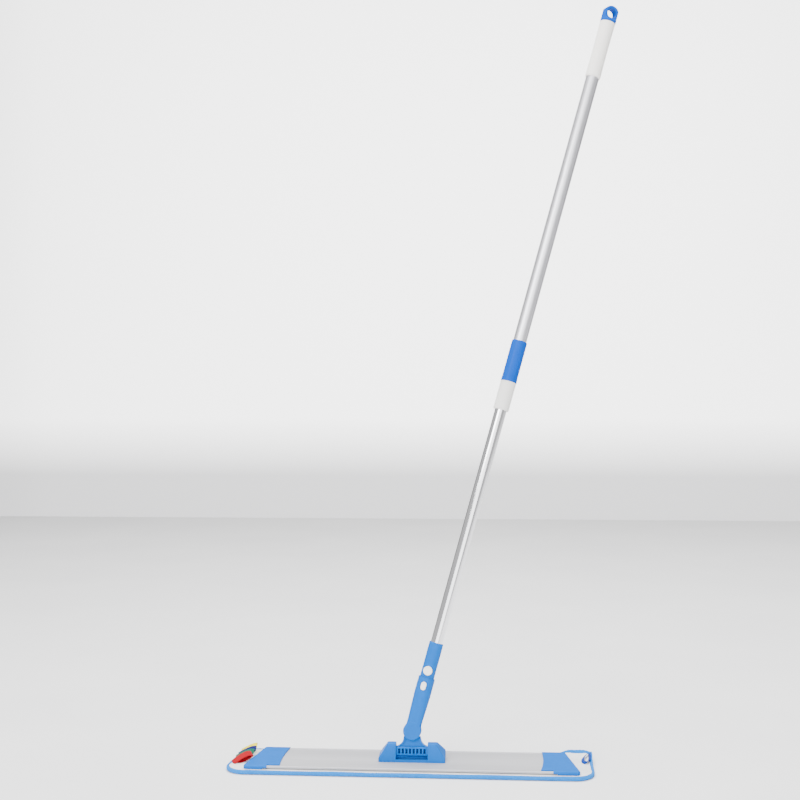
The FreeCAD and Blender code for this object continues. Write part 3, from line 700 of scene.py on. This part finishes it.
def puff(obj, pressure, frames, cap):
    """Inflate with cloth pressure and keep each point's direction, but at most cap of its way."""
    rest = [v.co.copy() for v in obj.data.vertices]
    cloth = obj.modifiers.new("cloth", "CLOTH")
    cloth.settings.use_pressure = True
    cloth.settings.uniform_pressure_force = pressure
    cloth.settings.effector_weights.gravity = 0
    cloth.settings.quality = 5
    cloth.point_cache.frame_start = 1
    cloth.point_cache.frame_end = frames
    scene = bpy.context.scene
    for f in range(1, frames + 1):
        scene.frame_set(f)
    apply_modifiers(obj)
    scene.frame_set(1)
    for v, old in zip(obj.data.vertices, rest):
        move = v.co - old
        if move.length > cap:
            v.co = old + move.normalized() * cap
    for p in obj.data.polygons:
        p.use_smooth = True


def ribbon(name, path, width_dir, width, thick, material, crimp=0.0):
    """A flat ribbon: path points with widths across width_dir, closed and thin, with soft edges."""
    verts = []
    faces = []
    cross = 5
    count = len(path)
    for side in (1, -1):
        for i, p in enumerate(path):
            q0 = path[max(i - 1, 0)]
            q1 = path[min(i + 1, count - 1)]
            tangent = (q1 - q0).normalized()
            across = (width_dir - tangent * width_dir.dot(tangent)).normalized()
            normal = tangent.cross(across).normalized()
            for k in range(cross + 1):
                t = k / cross - 0.5
                sag = crimp * math.sin(i * 1.7 + k * 2.1)
                half = thick / 2 * (1.0 if 0 < k < cross else 0.45)
                verts.append(p + across * (t * width) + normal * (side * half + sag))
    wide = cross + 1
    layer = wide * count
    for i in range(count - 1):
        for k in range(cross):
            a = i * wide + k
            faces.append((a, a + 1, a + wide + 1, a + wide))
            faces.append((layer + a, layer + a + wide, layer + a + wide + 1, layer + a + 1))
    for i in range(count - 1):
        for k in (0, cross):
            a = i * wide + k
            faces.append((a, a + wide, layer + a + wide, layer + a))
    for i in (0, count - 1):
        for k in range(cross):
            a = i * wide + k
            faces.append((a, layer + a, layer + a + 1, a + 1))
    return mesh_object(name, verts, faces, material)


def bezier(points, steps):
    """Points on a smooth curve through control points, by repeated averaging."""
    out = []
    count = len(points) - 1
    for s in range(steps + 1):
        t = s / steps
        level = list(points)
        for _ in range(count):
            level = [a.lerp(b, t) for a, b in zip(level, level[1:])]
        out.append(level[0])
    return out


# Each tag: how far it gapes, then its root's and its tip's offsets from the CAD ribbon's root line
TAG_LOOKS = {
    "tag_yellow": (0.5, (-5.2, 1.0), (23.6, 2.0)),
    "tag_navy": (1.0, (-3.9, -2.0), (28.6, 0.5)),
    "tag_green": (1.6, (-2.4, 1.5), (31.6, 0.4)),
    "tag_red": (2.6, (2.2, -8.5), (34.0, 9.0)),
}
TAG_T = 0.55 * MM
TAG_TIP_UP = 13.2 * MM
TAG_WIDTH_SHARE = 0.93
TAG_LEAN = Vector((0, 0, 0.4))


def make_tag(node):
    """A folded ribbon standing up from the pad's edge: lower strand, round tip, upper strand."""
    lo, hi = (Vector(v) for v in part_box(node))
    gape, root_by, tip_by = TAG_LOOKS[node]
    mid = Vector((lo.x, (lo.y + hi.y) / 2, lo.z))
    root = mid + Vector((root_by[0] * MM, root_by[1] * MM, 0.6 * MM))
    tip = mid + Vector((tip_by[0] * MM, tip_by[1] * MM, TAG_TIP_UP))
    along = tip - root
    side = (Vector((-along.y, along.x, 0)).normalized() + TAG_LEAN).normalized()
    lift = along.cross(side).normalized()
    lift = lift if lift.z > 0 else -lift
    gap = (1.2 + gape) * MM
    lower = [root, root + along * 0.35 - lift * gap * 0.5, root + along * 0.8 - lift * gap, tip]
    crown = root + along * 0.85 + lift * gap * 2.2
    heel = root + along * 0.4 + lift * gap * 1.8
    upper = [tip, crown, heel, root + lift * 1.2 * MM]
    path = bezier(lower, 14)[:-1] + bezier(upper, 16)
    width = (hi.y - lo.y) * TAG_WIDTH_SHARE
    piece = ribbon(node + "_ribbon", path, side, width, TAG_T, MATERIALS[node], 0.05 * MM)
    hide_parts(node)
    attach(piece, "pad")
    length = sum((b - a).length for a, b in zip(path, path[1:]))
    return piece


def make_hanging_loop():
    """A narrow ribbon on edge, folded into an eye, hanging from under the binding's overlap."""
    lo, hi = (Vector(v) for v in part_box("hanging_loop"))
    mid = (lo.x + hi.x) / 2
    half = (hi.x - lo.x) / 2 - 0.6 * MM
    root_y = 50 * MM
    root = Vector((PAD_RIGHT - 4 * MM, root_y, BIND_TOP + CURL_H - 3.0 * MM))

    def at(across, y):
        share = ease((y - lo.y) / (root_y - lo.y))
        x = mid + across * half + share * (root.x - mid - 3 * MM)
        return Vector((x, y, BACKING_TOP + 3.4 * MM + share * (root.z - BACKING_TOP - 3.4 * MM)))

    end = at(0, lo.y - 3 * MM)
    out = [root, at(0.9, root_y - 12 * MM), at(1.6, lo.y + 12 * MM), at(0.9, lo.y - 4 * MM), end]
    back = [end, at(-1.1, lo.y - 3 * MM), at(-1.9, lo.y + 10 * MM), at(-1.2, root_y - 14 * MM)]
    back.append(root - Vector((3 * MM, 0, 0)))
    path = bezier(out, 20)[:-1] + bezier(back, 22)
    lean = Vector((0.8, 0, 0.6)).normalized()
    piece = ribbon("pad_hanging_loop", path, lean, 6.0 * MM, 0.9 * MM, MATERIALS["loop"], 0.05 * MM)
    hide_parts("hanging_loop")
    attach(piece, "pad")
    return piece


def make_overlap():
    """Where the binding's two ends meet: the upper end folded over the lower."""
    outline, normals, _ = pad_outline(0.0, 2.0 * MM)
    spots = [i for i, p in enumerate(outline) if p.x > PAD_RIGHT - 1 * MM and 40 * MM < p.y < 55 * MM]
    over = 0.8 * MM
    section = tape_section(BIND_INNER + over, BIND_TOP + over, BIND_LOW - 0.3 * MM, over, BIND_R + 0.6 * MM)
    verts = []
    faces = []
    corners = len(section)
    for i in spots:
        p, n = outline[i], normals[i]
        for across, z in section:
            x = p.x + n.x * (across + 0.7 * MM)
            y = p.y + n.y * (across + 0.7 * MM)
            verts.append(Vector((x, y, z + curl(x, y))))
    for i in range(len(spots) - 1):
        a, b = i * corners, (i + 1) * corners
        for k in range(corners):
            m = (k + 1) % corners
            faces.append((a + k, a + m, b + m, b + k))
    faces.append(tuple(range(corners)))
    last = (len(spots) - 1) * corners
    faces.append(tuple(last + k for k in range(corners))[::-1])
    piece = mesh_object("binding_overlap", verts, faces, MATERIALS["binding"])
    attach(piece, "pad")
    return piece


binding, binding_length = make_binding()
stitches = make_binding_stitches()
overlap = make_overlap()
make_core()
make_fleece()
for tag_node in TAG_LOOKS:
    make_tag(tag_node)
hanging = make_hanging_loop()


# ---------------------------------------------------------------- stage


def make_stage():
    far = 14.0
    corners = [(-far, -far, 0), (far, -far, 0), (far, far, 0), (-far, far, 0)]
    floor = mesh_object("floor", corners, [(0, 1, 2, 3)], floor_material())
    world = bpy.data.worlds.new("studio")
    world.use_nodes = True
    world.node_tree.nodes["Background"].inputs[0].default_value = (1, 1, 1, 1)
    world.node_tree.nodes["Background"].inputs[1].default_value = 0.75
    bpy.context.scene.world = world
    card("card_right", 2.9, 2.6, 1.0)
    card("card_left", -2.6, 2.6, 0.7)
    backdrop()
    light("front", (0.15, -3.8, 1.6), 4.0, 190)
    light("key", (-1.6, -2.6, 2.6), 1.6, 110)
    light("top", (0.2, 0.6, 3.4), 2.8, 290)


def backdrop():
    """A glowing white sheet behind the scene, which only the camera sees."""
    y = 3.4
    m = Nodes("white_backdrop", Specular_IOR_Level=0.0, Roughness=1.0)
    # The glow is painted light, with painted shade: it is dimmer towards the floor, to meet the floor's
    # fading light at the seam.
    high = m.maths("MULTIPLY", m.dot(m.place(), (0, 0, 1)), 1.6)
    glow = m.ramp(high, (0.40, 0.40, 0.405, 1), (1.0, 1.0, 1.0, 1))
    m.colour(glow)
    m.join(glow, m.shader.inputs["Emission Color"])
    m.shader.inputs["Emission Strength"].default_value = 2.3
    corners = [(-4, y, -0.01), (4, y, -0.01), (4, y, 4), (-4, y, 4)]
    sheet = mesh_object("backdrop", corners, [(0, 1, 2, 3)], m.mat)
    sheet.visible_glossy = False
    sheet.visible_diffuse = False
    sheet.visible_shadow = False


def card(name, x, y, half):
    """A dark card beside the picture, which draws the metal tubes' dark edges."""
    verts = [(x - half, y, 0.3), (x + half, y, 0.3), (x + half, y, 3.2), (x - half, y, 3.2)]
    m = Nodes(name + "_cloth", Specular_IOR_Level=0.0)
    m.colour(m.ramp(m.noise(m.place(), 5.0), (0.02, 0.02, 0.02, 1), (0.04, 0.04, 0.045, 1)))
    mesh_object(name, verts, [(0, 1, 2, 3)], m.mat)


def floor_material():
    m = Nodes("pale_floor")
    m.colour(m.ramp(m.noise(m.place(), 3.0, 2.0), (0.86, 0.86, 0.865, 1), (0.9, 0.9, 0.9, 1)))
    m.roughness(m.span(m.noise(m.place(), 40.0), 0.6, 0.75))
    return m.mat


def light(name, at, size, power):
    data = bpy.data.lights.new(name, "AREA")
    data.size = size
    data.energy = power
    lamp = bpy.data.objects.new(name, data)
    lamp.location = at
    aim = Vector((0.15, 0, 0.5)) - Vector(at)
    lamp.rotation_euler = aim.to_track_quat("-Z", "Y").to_euler()
    bpy.context.scene.collection.objects.link(lamp)


def make_camera():
    data = bpy.data.cameras.new("camera")
    data.lens = CAMERA_LENS
    data.sensor_width = 36.0
    cam = bpy.data.objects.new("camera", data)
    turn = Matrix.Rotation(CAMERA_YAW, 4, "Z") @ Matrix.Rotation(PI / 2 - CAMERA_PITCH, 4, "X")
    cam.matrix_world = Matrix.Translation(CAMERA_AT) @ turn @ Matrix.Rotation(CAMERA_ROLL, 4, "Z")
    bpy.context.scene.collection.objects.link(cam)
    bpy.context.scene.camera = cam


make_stage()
make_camera()
